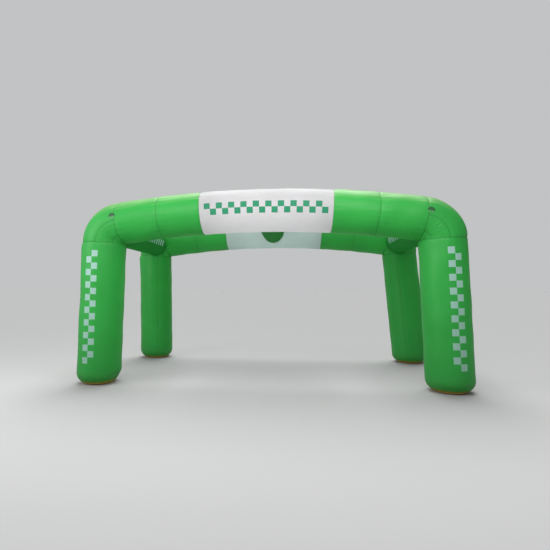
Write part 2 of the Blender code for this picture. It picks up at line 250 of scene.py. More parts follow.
def tube_coordinates(arch, points):
    """How far along each point is, its angle round the tube and its distance from the axis."""
    side = np.where(points[:, 0] < MIDDLE_X, -1.0, 1.0)
    x, z = side * (points[:, 0] - MIDDLE_X), points[:, 2]
    face = (points[:, 1] - ARCH_Y[arch]) * ARCHES[arch]
    at_elbow = np.arctan2(x - ELBOW_X, z - ELBOW_Z)
    on_beam = at_elbow < BEAM_SLOPE
    at_beam = np.arctan2(x, z - BEAM_Z)
    bend = np.clip(at_elbow, BEAM_SLOPE, math.pi / 2 - LEG_LEAN)
    far = np.where(on_beam, at_beam * BEAM_BEND, BEAM_HALF + (bend - BEAM_SLOPE) * ELBOW_BEND)
    lift = np.where(
        on_beam,
        np.hypot(x, z - BEAM_Z) - BEAM_BEND,
        np.hypot(x - ELBOW_X, z - ELBOW_Z) - ELBOW_BEND,
    )
    on_leg = at_elbow > math.pi / 2 - LEG_LEAN
    leg_x, leg_z = x - ELBOW_X, z - ELBOW_Z
    lift = np.where(on_leg, leg_x * math.cos(LEG_LEAN) + leg_z * math.sin(LEG_LEAN) - ELBOW_BEND, lift)
    drop = leg_x * math.sin(LEG_LEAN) - leg_z * math.cos(LEG_LEAN)
    far = np.where(on_leg, ELBOW_END + drop, far)
    return side * far, np.arctan2(face, lift), np.hypot(lift, face)


trial = np.array([0.3, 2.0, BEAM_HALF + 0.2, ELBOW_END + 0.3, -3.3])
there = world_points("front", trial, np.full(5, 2.0), np.full(5, 0.4))
print("there and back", np.round(tube_coordinates("front", there)[0] - trial, 6))

# %% [markdown]
# ## The skin
#
# A blown-up tube is never quite a cylinder. Where two lengths of cloth are sewn together the
# thread is shorter than the cloth, so the tube draws in and the cloth beside the seam puckers:
# short deep creases at the seam that merge and fade in a hand's width. In between, the cloth lies
# a little unevenly. All of this is worked out as one number for each point: how far the skin lies
# inside or outside the plain round tube. Both pieces at a seam read the same ripples there, so
# their edges meet.

# %% Ripples
RIPPLES = 7  # waves added up in one ripple
SWELLINGS = 6


def ripple(turn, seed, low, high):
    """A fixed random ripple, about one high, of waves with whole numbers from low to high a turn."""
    rng = np.random.default_rng(seed)
    total = np.zeros_like(turn)
    for number in rng.integers(low, high, RIPPLES):
        total += np.cos(number * turn + rng.uniform(0, 2 * np.pi))
    return total / math.sqrt(RIPPLES / 2)


SEAM_GROOVE = 0.024  # how fast the drawn-in skin comes out again beside a seam
FINE_PUCKER, BROAD_PUCKER = 0.022, 0.070  # where the two sizes of pucker are highest


def swell(distance, reach):
    """Nothing at a seam, one at reach from it, and fading further off."""
    share = distance / reach
    return share * np.exp(1.0 - share)


def creases(wave):
    """A ripple's sharp inward creases with rounded cloth between them."""
    return 1.5 * np.tanh(np.abs(wave) / 1.2) - 0.8


def seam_skin(distance, turn, seed, draw=0.009, pucker=0.005, low=26, high=52):
    """How far the skin lies in or out beside one seam."""
    groove = -draw * np.exp(-distance / SEAM_GROOVE)
    fine = pucker * swell(distance, FINE_PUCKER) * creases(ripple(turn, seed, low, high))
    wide = creases(ripple(turn, seed + 1, low // 3, high // 3))
    broad = 0.8 * pucker * swell(distance, BROAD_PUCKER) * wide
    return groove + fine + broad


# %% Seams across the tube of an arch
FIRST_SEAM = PANEL_LENGTHS / 2
CROSS_SEAMS = [side * (FIRST_SEAM + n) * LENGTH for n in range(3) for side in (-1, 1)]
CROSS_SEAMS += [-ELBOW_END, ELBOW_END]


def turn_apart(angle, seam):
    """How far round the tube an angle is from a seam's."""
    return np.abs((angle - seam + np.pi) % (2 * np.pi) - np.pi)


def seam_seed(arch, number):
    return 100 * (ARCHES[arch] + 2) + 10 * number


def cross_seam_skin(arch, along, angle):
    total = np.zeros_like(along)
    for number, place in enumerate(CROSS_SEAMS):
        total += seam_skin(np.abs(along - place), angle, seam_seed(arch, number))
    return total


def uneven(along, angle, seed, height=0.0025):
    """Long, low swellings of the cloth."""
    rng = np.random.default_rng(seed)
    total = np.zeros_like(along)
    for _ in range(SWELLINGS):
        length, turns = rng.uniform(0.5, 1.4), rng.integers(1, 6)
        total += np.cos(2 * np.pi * along / length + turns * angle + rng.uniform(0, 2 * np.pi))
    return height * total / math.sqrt(3)


print("seams across an arch", len(CROSS_SEAMS))

# %% [markdown]
# ## Seams round the ends of the joining tubes
#
# Each side tube meets the elbows in a saddle seam, and the cross tube meets the panels in another.
# On the arch that seam is a ring, seen from the other arch as a circle of the joining tube's
# radius. The arch's skin draws in along it and puckers outside it. Inside it the skin is plain,
# because nobody sees it there.

# %% Where the joining tubes meet an arch
side_low, side_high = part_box("side_tube_left")
SIDE_TUBE_RADIUS = (side_high.x - side_low.x) / 2
cross_low, cross_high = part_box("cross_tube")
CROSS_TUBE_RADIUS = (cross_high.x - cross_low.x) / 2
LINKS = (
    # node, radius
    ("side_tube_left", SIDE_TUBE_RADIUS),
    ("side_tube_right", SIDE_TUBE_RADIUS),
    ("cross_tube", CROSS_TUBE_RADIUS),
)
LINK_DRAW = 0.012


def round_link(points, node):
    """How far each point is from a joining tube's axis, and its angle round it."""
    middle = middle_of(node)
    x, z = points[:, 0] - middle.x, points[:, 2] - middle.z
    return np.hypot(x, z), np.arctan2(z, x)


def link_skin(arch, points, angle):
    """The skin's offset near the joining tubes, and how much of the other ripples is left there."""
    total, left = np.zeros(len(points)), np.ones(len(points))
    for number, (node, radius) in enumerate(LINKS):
        across, around = round_link(points, node)
        gap = across - radius
        inner = np.sin(angle) < 0
        ring = seam_skin(np.abs(gap), around, seam_seed(arch, 10 + number), LINK_DRAW, 0.0035, 18, 36)
        plain = -LINK_DRAW * np.exp(-np.abs(gap) / SEAM_GROOVE)
        total += np.where(inner, np.where(gap > 0, ring, plain), 0.0)
        left *= np.where(inner, np.clip(gap / 0.12, 0.0, 1.0), 1.0)
    return total, left


# %% [markdown]
# ## The elbow's gores
#
# A round corner can't be cut from one flat cloth. The outer half of the elbow is one shaped piece.
# The inner half is four narrow gores, with seams along the bend at the front-most line, at 45
# degrees, on the innermost line, and the same at the back. The innermost corner has far more cloth
# than room, so it lies in folds that spread from the corner like rays: see further down.

# %% Gores
GORE_SEAMS = [math.radians(turn) for turn in (90, 135, 180, -135, -90)]
GORE_DRAW, GORE_GROOVE, GORE_PUCKER = 0.0045, 0.016, 0.0022
GORE_CROWN = 0.006  # a gore's middle lies this far out


def gore_skin(arch, along, angle):
    """The offset that the gores' seams and the corner's folds give to an elbow."""
    bend = np.clip((np.abs(along) - BEAM_HALF) / ELBOW_LENGTH, 0.0, 1.0)
    total = np.zeros_like(along)
    seed = seam_seed(arch, 20) + (along[0] > 0)
    for number, seam in enumerate(GORE_SEAMS):
        apart = turn_apart(angle, seam) * BEAM_RADIUS
        total += -GORE_DRAW * np.exp(-apart / GORE_GROOVE)
        puckers = creases(ripple(bend * np.pi, seed + 2 * number, 6, 22))
        total += GORE_PUCKER * swell(apart, FINE_PUCKER) * puckers
    inner_side = np.clip(0.75 - np.cos(angle), 0.0, 1.0)
    total += pressed(bend, angle) * inner_side
    total += GORE_CROWN * np.clip(-np.cos(angle) * 2, 0.0, 1.0) * np.abs(np.sin(4 * angle))
    return total


# %% [markdown]
# ## Making a tube
#
# All tubes start as a disc in a seam's plane. A spin about the bend's centre sweeps it along, with
# a ring of points every 18 mm, and leaves a cap at both ends. A straight tube is a cylinder whose
# long edges are subdivided. Then each point is moved in or out to where the skin lies. A formula
# does this, because no brush could repeat it on 25 pieces of cloth.

# %% Helpers for new pieces
SIDES = 160
RING_STEP = 0.018


def edit_mode(on=True):
    bpy.ops.object.mode_set(mode="EDIT" if on else "OBJECT")


def select_nothing():
    if bpy.context.object and bpy.context.object.mode != "OBJECT":
        edit_mode(False)
    bpy.ops.object.select_all(action="DESELECT")


def select_only(piece):
    select_nothing()
    piece.select_set(True)
    bpy.context.view_layer.objects.active = piece


def points_of(piece):
    flat = np.zeros(3 * len(piece.data.vertices))
    piece.data.vertices.foreach_get("co", flat)
    return flat.reshape(-1, 3)


def set_points(piece, points):
    piece.data.vertices.foreach_set("co", points.ravel())
    piece.data.update()


def name_and_settle(name):
    """Names the active object and applies its place, so that it sits at the origin."""
    piece = bpy.context.object
    piece.name = name
    piece.data.name = name
    bpy.ops.object.transform_apply(location=True, rotation=True, scale=True)
    return piece


def set_float(piece, name, values):
    attribute = piece.data.attributes.new(name, "FLOAT", "POINT")
    attribute.data.foreach_set("value", values.astype(np.float32))


def set_uv(piece, along, around, turn_length):
    """A UV map in metres: along the tube, and round it. A face that crosses the wrap is mended."""
    layer = piece.data.uv_layers.new(name="UVMap")
    corner = np.zeros(len(piece.data.loops), int)
    piece.data.loops.foreach_get("vertex_index", corner)
    u, v = along[corner], around[corner]
    for face in piece.data.polygons:
        inside = slice(face.loop_start, face.loop_start + face.loop_total)
        if v[inside].max() - v[inside].min() > turn_length / 2:
            v[inside] = np.where(v[inside] < 0, v[inside] + turn_length, v[inside])
    layer.data.foreach_set("uv", np.stack([u, v], axis=1).ravel())


def smooth(piece, limit=50.0):
    select_only(piece)
    bpy.ops.object.shade_smooth_by_angle(angle=math.radians(limit))


def pick(piece, kind, wanted):
    """Selects a mesh's faces or edges for which wanted is true, and nothing else."""
    edit_mode()
    bpy.ops.mesh.select_mode(type=kind)
    bpy.ops.mesh.select_all(action="DESELECT")
    edit_mode(False)
    for part in piece.data.polygons if kind == "FACE" else piece.data.edges:
        part.select = wanted(part)


def is_cap(face):
    return face.loop_total > 4


def turn_outwards():
    """Makes all normals point outwards, and leaves edit mode."""
    bpy.ops.mesh.select_all(action="SELECT")
    bpy.ops.mesh.normals_make_consistent(inside=False)
    edit_mode(False)


def replace_node(piece, node):
    """The piece stands for its solid: it moves with the arch, and the solid is hidden."""
    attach(piece, "root")
    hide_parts(node)


def dress(piece, node, material, seam, along, angle, radius):
    """Gives a tube its seam distances, UV map, shading and material, and its node's place."""
    set_float(piece, "seam", seam)
    set_uv(piece, along, angle * radius, 2 * math.pi * radius)
    smooth(piece)
    piece.data.materials.append(material)
    replace_node(piece, node)
    return piece


# %% A tube by spinning a disc
GAP = 0.00015  # half the gap between two pieces at a seam


def add_disc(arch, along, radius):
    x, z, out_x, out_z = (float(v) for v in axis_at(np.array(along)))
    facing = Vector((out_z, 0.0, -out_x))
    bpy.ops.mesh.primitive_circle_add(
        vertices=SIDES,
        radius=radius,
        fill_type="NGON",
        calc_uvs=False,
        location=(x, ARCH_Y[arch], z),
        rotation=facing.to_track_quat("Z", "Y").to_euler(),
    )


def spin_tube(name, arch, start, end):
    """A stretch of beam or elbow between two distances from mid beam."""
    select_nothing()
    add_disc(arch, start, BEAM_RADIUS)
    middle = (start + end) / 2
    on_beam = abs(middle) < BEAM_HALF
    bend = BEAM_BEND if on_beam else ELBOW_BEND
    centre_x = 0.0 if on_beam else math.copysign(ELBOW_X, middle)
    longest = end - start if on_beam else (end - start) * (1 + BEAM_RADIUS / ELBOW_BEND)
    edit_mode()
    bpy.ops.mesh.select_all(action="SELECT")
    bpy.ops.mesh.spin(
        steps=round(longest / RING_STEP),
        angle=-(end - start) / bend,  # this operator turns against the right-hand rule
        center=(MIDDLE_X + centre_x, ARCH_Y[arch], BEAM_Z if on_beam else ELBOW_Z),
        axis=(0, 1, 0),
    )
    turn_outwards()
    return name_and_settle(name)


# %% [markdown]
# ## An elbow's cloth under pressure
#
# A maker cuts the inner half of an elbow longer than the room it has, so that the corner isn't
# strangled. Blown up, the cloth to spare lies in folds that run out from the corner. Their shape
# comes from a cloth simulation. The elbow's points start on the round tube. A shape key says where
# they would lie with all the cloth smoothed out, and Cloth takes its lengths from that key. The end
# rings are pinned, as the seams hold them, and air presses from inside. One elbow is worked out.
# What its points did is kept as a table over bend and angle, which all four elbows read.
#
# The solver's sums aren't the same to the last digit each time, and cloth that snaps into its folds
# makes that show. So the solver's clock runs at a twentieth of its speed, and the folds form slowly:
# they then come out the same each time, to about a hundredth of a millimetre. The corner itself
# gets less cloth to spare, because there is hardly room for it. And each entry of the table takes
# the middle value of its neighbourhood, so that a stray point is left out.

# %% One elbow blown up
START_IN, START_RIPPLE = 0.004, 0.0015  # where the cloth starts, inside the round tube
TO_SPARE = 0.08  # how much further out the inner side's cloth would lie smoothed out
CORNER_ROOM = 0.16  # from the bend's centre: the cloth nearer to it gets less to spare
PRESS_FRAMES = 12
FARTHEST = 0.016  # that a point may move
CLOTH_SETTINGS = {
    "time_scale": 0.05,
    "quality": 6,
    "mass": 0.05,
    "tension_stiffness": 60.0,
    "compression_stiffness": 60.0,
    "shear_stiffness": 24.0,
    "bending_stiffness": 0.2,
    "tension_damping": 3.0,
    "compression_damping": 3.0,
    "shear_damping": 3.0,
    "use_pressure": True,
    "uniform_pressure_force": 40.0,
}
PRESSED = np.zeros((2, 4))  # how far the cloth moves out: rows over the bend, columns over a turn


def calmed(table):
    """Each entry becomes the middle one of its own and its eight neighbours' values."""
    rows = len(table)
    tall = np.pad(table, ((1, 1), (0, 0)), mode="edge")
    around = [np.roll(tall[down : down + rows], over, axis=1) for down in range(3) for over in (-1, 0, 1)]
    return np.median(around, axis=0)


def press_elbow():
    """Simulates an elbow's cloth. Returns the table for PRESSED."""
    piece = spin_tube("pressed_elbow", "front", BEAM_HALF + GAP, ELBOW_END - GAP)
    pick(piece, "FACE", is_cap)
    edit_mode()
    bpy.ops.mesh.delete(type="ONLY_FACE")
    edit_mode(False)
    along, angle, _ = tube_coordinates("front", points_of(piece))
    rows = round(len(along) / SIDES)
    bend = np.clip((along - BEAM_HALF) / ELBOW_LENGTH, 0.0, 1.0)
    room = ELBOW_BEND + BEAM_RADIUS * np.cos(angle)  # to the bend's centre
    inside = np.minimum(bend, 1.0 - bend) > 0.5 / rows
    start = START_RIPPLE * ripple(angle, 5, 10, 40) * ripple(bend * 2.5, 6, 3, 20) - START_IN
    set_points(piece, world_points("front", along, angle, BEAM_RADIUS + start * inside))
    _, _, out_x, out_z = axis_at(along)
    smoothed = world_points("front", along, angle, np.full(len(along), BEAM_RADIUS))
    further = TO_SPARE * np.clip(-np.cos(angle), 0.0, 1.0) ** 1.3
    further *= np.minimum(1.0, room / CORNER_ROOM)
    smoothed[:, 0] += further * out_x
    smoothed[:, 2] += further * out_z
    piece.shape_key_add(name="start")
    key = piece.shape_key_add(name="smoothed_out")
    key.data.foreach_set("co", smoothed.ravel())
    held = piece.vertex_groups.new(name="held")
    held.add([int(index) for index in np.flatnonzero(~inside)], 1.0, "REPLACE")
    modifier = piece.modifiers.new("cloth", "CLOTH")
    modifier.point_cache.frame_start = 1
    modifier.point_cache.frame_end = PRESS_FRAMES
    modifier.collision_settings.use_self_collision = False
    settings = modifier.settings
    for name, value in CLOTH_SETTINGS.items():
        setattr(settings, name, value)
    settings.vertex_group_mass = "held"
    settings.rest_shape_key = key
    settings.effector_weights.gravity = 0.0
    for frame_number in range(1, PRESS_FRAMES + 1):
        bpy.context.scene.frame_set(frame_number)
    select_only(piece)
    bpy.ops.object.convert(target="MESH")
    _, _, radius = tube_coordinates("front", points_of(piece))
    move = np.clip(radius - BEAM_RADIUS, -FARTHEST, FARTHEST)
    bpy.data.objects.remove(piece)
    row = np.rint(bend * (rows - 1)).astype(int)
    column = np.rint(angle / (2 * np.pi) * SIDES).astype(int) % SIDES
    table = np.zeros((rows, SIDES))
    table[row, column] = move
    return calmed(table)


def pressed(bend, angle):
    """Reads the table between its points."""
    rows, columns = PRESSED.shape
    row = np.clip(bend, 0.0, 1.0) * (rows - 1)
    column = angle / (2 * np.pi) % 1.0 * columns
    row_low = np.minimum(row.astype(int), rows - 2)
    column_low = column.astype(int) % columns
    column_high = (column_low + 1) % columns
    down, over = row - row_low, column - np.floor(column)
    near = PRESSED[row_low, column_low] * (1 - over) + PRESSED[row_low, column_high] * over
    far = PRESSED[row_low + 1, column_low] * (1 - over) + PRESSED[row_low + 1, column_high] * over
    return near * (1 - down) + far * down


PRESSED = press_elbow()
print("pressed table", PRESSED.shape, "from", round(PRESSED.min(), 4), "to", round(PRESSED.max(), 4))

# %% The whole skin of an arch
GUY_FROM_SEAM = 0.030  # along the elbow from the beam's seam
GUY_TURN = math.radians(13.5)  # up from the front-most line
GUY_STIFF = 0.072  # how far round its middle a guy patch keeps the cloth smooth
ELBOW_FULLNESS = {"left": 0.0, "right": 0.018}  # of the outer side, above the leg's seam
LEG_FULLNESS = {"left": 0.020, "right": -0.008}  # below it


def away_from_guys(along, angle):
    """Nothing on a guy patch, one a hand's width away from it."""
    off = np.abs(along) - BEAM_HALF - GUY_FROM_SEAM
    up = (math.pi / 2 - GUY_TURN - angle) * BEAM_RADIUS
    return np.clip((np.hypot(off, up) - GUY_STIFF) / 0.05, 0.0, 1.0)


def fullness(room, distance, angle):
    """A swelling of the outer side beside the seam on top of a leg."""
    return room * swell(distance, 0.10) * np.clip(np.cos(angle), 0.0, 1.0)


def arch_skin(arch, along, angle):
    """How far the skin of beam and elbow lies outside BEAM_RADIUS."""
    points = world_points(arch, along, angle, np.full(len(along), BEAM_RADIUS))
    rings, left = link_skin(arch, points, angle)
    rest = uneven(along, angle, seam_seed(arch, 30))
    elbow = np.abs(along) > BEAM_HALF - 1e-4
    if elbow.any():
        rest[elbow] += gore_skin(arch, along[elbow], angle[elbow])
        room = np.where(along > 0, ELBOW_FULLNESS["right"], ELBOW_FULLNESS["left"])
        rest += elbow * fullness(room, np.maximum(ELBOW_END - np.abs(along), 0.0), angle)
    rest += cross_seam_skin(arch, along, angle)
    return rings + left * rest * away_from_guys(along, angle)


# %% A piece of an arch
def seam_distance(arch, along, angle):
    """How far each point of an arch is from the nearest seam that its maker sewed."""
    nearest = np.min([np.abs(along - place) for place in CROSS_SEAMS], axis=0)
    for seam in GORE_SEAMS:
        apart = turn_apart(angle, seam) * BEAM_RADIUS
        nearest = np.where(np.abs(along) > BEAM_HALF - 1e-4, np.minimum(nearest, apart), nearest)
    points = world_points(arch, along, angle, np.full(len(along), BEAM_RADIUS))
    for node, radius in LINKS:
        ring = np.where(np.sin(angle) < 0, np.abs(round_link(points, node)[0] - radius), 1.0)
        nearest = np.minimum(nearest, ring)
    return nearest


def make_arch_tube(name, arch, start, end, material):
    piece = spin_tube(name, arch, start + GAP, end - GAP)
    along, angle, _ = tube_coordinates(arch, points_of(piece))
    along = np.clip(along, start + GAP, end - GAP)
    skin = arch_skin(arch, along, angle)
    set_points(piece, world_points(arch, along, angle, BEAM_RADIUS + skin))
    return dress(piece, name, material, seam_distance(arch, along, angle), along, angle, BEAM_RADIUS)


# %% [markdown]
# ## The cloth
#
# The arch is nylon or polyester cloth with a thin plastic coat: strong even colour, a soft wide
# highlight, a weave that shows only up close, and colour that is a little uneven. Faces turned up
# are painted paler and yellower, a painted highlight for the light on the tops. At a seam the
# cloth lies four thick, so less light comes through; the colour there is painted darker, a painted
# shade, with two rows of stitches. The material reads the piece's UV map, which is in metres, so
# that the weave and stitches have their real size and follow the tube.


# %% Small helpers for materials
class Nodes:
    """Short ways to add and join nodes in one material."""

    def __init__(self, name):
        self.material = bpy.data.materials.new(name)
        self.material.use_nodes = True
        self.tree = self.material.node_tree
        self.shader = self.tree.nodes["Principled BSDF"]

    def add(self, kind, inputs=None, **settings):
        node = self.tree.nodes.new("ShaderNode" + kind)
        for key, value in settings.items():
            setattr(node, key, value)
        for key, value in (inputs or {}).items():
            self.put(node.inputs[key], value)
        return node

    def put(self, socket, value):
        if hasattr(value, "is_output"):
            self.tree.links.new(value, socket)
        else:
            socket.default_value = value

    def math(self, operation, one, two=0.0, three=0.0):
        node = self.add("Math", operation=operation)
        for socket, value in zip(node.inputs, (one, two, three)):
            self.put(socket, value)
        return node.outputs["Value"]

    def mix(self, share, one, two):
        node = self.add("Mix", data_type="RGBA")
        self.put(node.inputs["Factor"], share)
        self.put(node.inputs["A"], one)
        self.put(node.inputs["B"], two)
        return node.outputs["Result"]

    def times(self, one, two):
        return self.math("MULTIPLY", one, two)

    def wave(self, value, length):
        return self.math("SINE", self.times(value, 2 * math.pi / length))

    def ramp(self, value, low, high, to_low=0.0, to_high=1.0):
        ends = {"From Min": low, "From Max": high, "To Min": to_low, "To Max": to_high}
        return self.add("MapRange", {"Value": value, **ends}).outputs["Result"]

    def noise(self, place, scale, detail):
        settings = {"Vector": place, "Scale": scale, "Detail": detail}
        return self.add("TexNoise", settings).outputs["Fac"]

    def within(self, value, low, high, edge):
        """One between low and high, nothing outside, with a soft edge."""
        middle, half = (low + high) / 2, (high - low) / 2
        apart = self.math("ABSOLUTE", self.math("SUBTRACT", value, middle))
        return self.ramp(apart, half - edge / 2, half + edge / 2, 1.0, 0.0)

    def split(self, vector):
        """The X, Y and Z of a vector."""
        return self.add("SeparateXYZ", {"Vector": vector}).outputs.values()

    def bump(self, height, strength, distance):
        node = self.add("Bump", {"Height": height, "Strength": strength, "Distance": distance})
        self.put(self.shader.inputs["Normal"], node.outputs["Normal"])


def shade(colour, share):
    return (*(share * part for part in colour[:3]), 1.0)


# %% Cloth
WEAVE = 0.0016  # one thread over and one under
STITCH = 0.009
TOP_LIGHT_COLOUR = (0.50, 0.62, 0.30, 1.0)  # painted highlight: the pale yellow-green that faces turned up are painted towards
DIRT = (0.16, 0.11, 0.055, 1.0)
OCHRE_DUST = (0.62, 0.38, 0.06, 1.0)


def cloth(
    name, colour, mark=None, mark_colour=None, dirt_and_low_shade=False, roughness=0.42, clear=0.45, gloss=0.4, painted_top_light=0.0
):
    """Coated cloth. mark is a printed band of checks (u from, u to, v middle, square), clear the share
    of light that comes through, and painted_top_light how far faces turned up are painted paler, a
    painted highlight. dirt_and_low_shade adds dirt near the ground and painted shade down the leg."""
    n = Nodes(name)
    u, v, _ = n.split(n.add("UVMap", uv_map="UVMap").outputs["UV"])
    place = n.add("TexCoord").outputs["Object"]
    specks = n.noise(place, 38.0, 2.0)
    mottle = n.math("ADD", n.times(n.noise(place, 1.3, 3.0), 0.75), n.times(specks, 0.25))
    shown = n.mix(n.ramp(mottle, 0.35, 0.65), shade(colour, 0.94), shade(colour, 1.06))
    if mark:
        start, end, centre, square = mark
        shift = n.add("CombineXYZ", {"X": n.math("SUBTRACT", u, start), "Y": n.math("SUBTRACT", v, centre)})
        checks = n.add("TexChecker", {"Vector": shift.outputs["Vector"], "Scale": 1.0 / square})
        long = n.within(u, start + 0.001, end - 0.001, 0.001)
        wide = n.within(v, centre - square + 0.001, centre + square - 0.001, 0.001)
        printed = n.times(checks.outputs["Fac"], n.times(long, wide))
        shown = n.mix(printed, shown, (*mark_colour, 1.0))
    seam = n.add("Attribute", attribute_name="seam").outputs["Fac"]
    # painted shade: the cloth along a seam is painted darker, for the light that four layers hold back
    welt_shade = n.within(seam, -0.009, 0.009, 0.006)
    shown = n.mix(n.times(welt_shade, 0.30), shown, shade(colour, 0.30))
    dash = n.within(n.wave(n.math("ADD", u, v), STITCH), -0.2, 1.2, 0.3)
    stitches = n.times(n.within(seam, 0.006, 0.009, 0.0015), dash)
    shown = n.mix(n.times(stitches, 0.6), shown, shade(colour, 0.55))
    # painted highlight: faces turned up are painted paler and yellower, for the light on the tops
    _, _, facing = n.split(n.add("NewGeometry").outputs["Normal"])
    upward = n.ramp(facing, 0.45, 1.0)
    shown = n.mix(n.times(upward, painted_top_light), shown, TOP_LIGHT_COLOUR)
    if dirt_and_low_shade:
        _, _, height = n.split(place)
        blotch = n.noise(place, 9.0, 5.0)
        dirt = n.times(n.ramp(height, 0.32, 0.03), n.times(blotch, 0.45))
        shown = n.mix(dirt, shown, DIRT)
        ragged = n.math("ADD", height, n.times(blotch, -0.06))
        shown = n.mix(n.times(n.ramp(ragged, 0.060, 0.040), 0.7), shown, OCHRE_DUST)
        # painted shade: the leg is painted darker from 2.2 m down to 0.2 m, for the dimmer light low down
        shown = n.mix(n.times(n.ramp(height, 2.2, 0.2), 0.28), shown, shade(colour, 0.35))
    n.put(n.shader.inputs["Base Color"], shown)
    threads = n.times(n.times(n.wave(u, WEAVE), n.wave(v, WEAVE)), 0.00012)
    relief = n.math("ADD", threads, n.times(stitches, 0.0006))
    n.bump(n.math("ADD", relief, n.times(n.noise(place, 11.0, 4.0), 0.0007)), 0.6, 1.0)
    n.put(n.shader.inputs["Roughness"], n.ramp(specks, 0.0, 1.0, roughness - 0.06, roughness + 0.08))
    n.shader.inputs["Specular IOR Level"].default_value = gloss
    if clear:
        shown_through = n.add("BsdfTranslucent", {"Color": shown}).outputs["BSDF"]
        both = n.add("MixShader", {"Fac": clear})
        n.tree.links.new(n.shader.outputs["BSDF"], both.inputs[1])
        n.tree.links.new(shown_through, both.inputs[2])
        n.tree.links.new(both.outputs["Shader"], n.tree.nodes["Material Output"].inputs["Surface"])
    return n.material


# %% [markdown]
# ## The beams
#
# Each beam is seven equal lengths of cloth. The three in the middle are one white panel with a
# printed band on the face that a visitor sees. The print here is plain: two rows of checks, like
# the flags at the end of a race. The back panel's white is painted a little darker and greener
# than the front's, on a cloth of its own: painted shade and painted green light from the arches.

# %% Beams
GREEN = (0.044, 0.485, 0.082)
# painted shade: the joining tubes take the arch's green painted darker, for the shade between the arches
LINK_GREEN_SHADED = (0.022, 0.33, 0.050)
# painted shade: the back white is darker and greener, for shade and green light bounced off the arches
PANEL_WHITE_AND_SHADE = {"front": (0.77, 0.755, 0.77), "back": (0.635, 0.72, 0.70)}
PRINT_TEAL = (0.050, 0.36, 0.190)
PRINT_PALE = (0.50, 0.74, 0.71)
SQUARE = 0.1225
BAND_HALF = 10 * SQUARE

green_cloth = cloth("green_coated_cloth", GREEN, painted_top_light=0.48)
panel_mark = (-BAND_HALF, BAND_HALF, math.radians(90) * BEAM_RADIUS, SQUARE)

BEAM_PIECES = (
    # name, first seam and last seam in lengths of cloth from mid beam
    ("beam_left_outer", -3.5, -2.5),
    ("beam_left_inner", -2.5, -1.5),
    ("beam_right_inner", 1.5, 2.5),
    ("beam_right_outer", 2.5, 3.5),
)
for arch in ARCHES:
    for name, start, end in BEAM_PIECES:
        make_arch_tube(f"{arch}_{name}", arch, start * LENGTH, end * LENGTH, green_cloth)
    half = FIRST_SEAM * LENGTH
    panel_cloth = cloth(
        f"white_cloth_{arch}", PANEL_WHITE_AND_SHADE[arch], panel_mark, PRINT_TEAL, clear=0.68, gloss=0.2
    )
    piece = make_arch_tube(f"{arch}_panel", arch, -half, half, panel_cloth)
print("beam pieces", 2 * (len(BEAM_PIECES) + 1), "faces in a panel", len(piece.data.polygons))

# %% [markdown]
# ## The elbows
#
# An elbow is the same disc spun about the inside corner.

# %% Elbows
for arch in ARCHES:
    for hand, side in HANDS.items():
        start, end = sorted((side * BEAM_HALF, side * ELBOW_END))
        piece = make_arch_tube(f"{arch}_elbow_{hand}", arch, start, end, green_cloth)
print("faces in an elbow", len(piece.data.polygons))

# %% [markdown]
# ## The legs
#
# A leg is a straight tube that rounds in to its foot. The rounding is gathered: the cloth is wider
# than the foot's rim, so folds run down into it. One upright seam closes the tube, on the face
# turned to the other arch. Each leg stands where it was put down, a few centimetres off the true
# place, so the axis runs from that foot to the seam at the elbow.

# %% Legs
FOOT_ROUND = 0.24
FOOT_CLOTH_HEIGHT = 0.045
FLAT_RADIUS = LEG_RADIUS - FOOT_ROUND
SLACK_FOOT = ("front", "left")  # this foot has dents towards the passage
SLACK_DENTS = ((0.055, 0.165, 0.065), (0.040, 0.085, 0.050))  # depth, height, reach up and down
SLACK_TURN = 0.55  # their reach round the tube
UPRIGHT_SEAM = math.radians(-112)
UPRIGHT_DRAW, UPRIGHT_GROOVE, UPRIGHT_PUCKER = 0.0030, 0.014, 0.0015
PRINT_TURN = math.radians(82)
LEG_SQUARE = 0.128
LEG_BAND = (0.46, 0.46 + 18 * LEG_SQUARE)

leg_mark = (*LEG_BAND, PRINT_TURN * LEG_RADIUS, LEG_SQUARE)
leg_cloth = cloth("green_cloth_leg", GREEN, leg_mark, PRINT_PALE, dirt_and_low_shade=True)


def foot_radius(height):
    """Radius of the leg and foot cloth at a height over the ground."""
    drop = np.clip(FOOT_ROUND - height, 0.0, FOOT_ROUND)
    return FLAT_RADIUS + np.sqrt(FOOT_ROUND**2 - drop**2)


def round_foot(points, arch, hand):
    """The angle of each point round its foot's middle."""
    foot = middle_of(f"{arch}_foot_{hand}")
    return np.arctan2((points[:, 1] - foot.y) * ARCHES[arch], (points[:, 0] - foot.x) * HANDS[hand])


def gather(arch, hand, height, angle):
    """The folds that run into the foot's rim."""
    seed = seam_seed(arch, 40) + HANDS[hand]
    above = np.maximum(height - FOOT_CLOTH_HEIGHT, 0.0)
    fine = creases(ripple(angle, seed, 20, 44)) * np.exp(-above / 0.045)
    broad = creases(ripple(angle, seed + 2, 7, 17)) * np.exp(-above / 0.110)
    fold = (0.006 * fine + 0.007 * broad) * np.clip(height / FOOT_CLOTH_HEIGHT, 0.0, 1.0)
    if (arch, hand) == SLACK_FOOT:
        off = (np.abs(angle) - math.pi) / SLACK_TURN
        for depth, middle, reach in SLACK_DENTS:
            fold -= depth * np.exp(-(off**2) - ((height - middle) / reach) ** 2)
    return fold


def divide_along(piece, cuts):
    """Subdivides a cylinder's long edges, so that it gets rings of points."""

    def is_long(edge):
        one, two = (piece.data.vertices[index].co for index in edge.vertices)
        return (one - two).length > 0.5

    pick(piece, "EDGE", is_long)
    edit_mode()
    bpy.ops.mesh.subdivide(number_cuts=cuts)
    edit_mode(False)


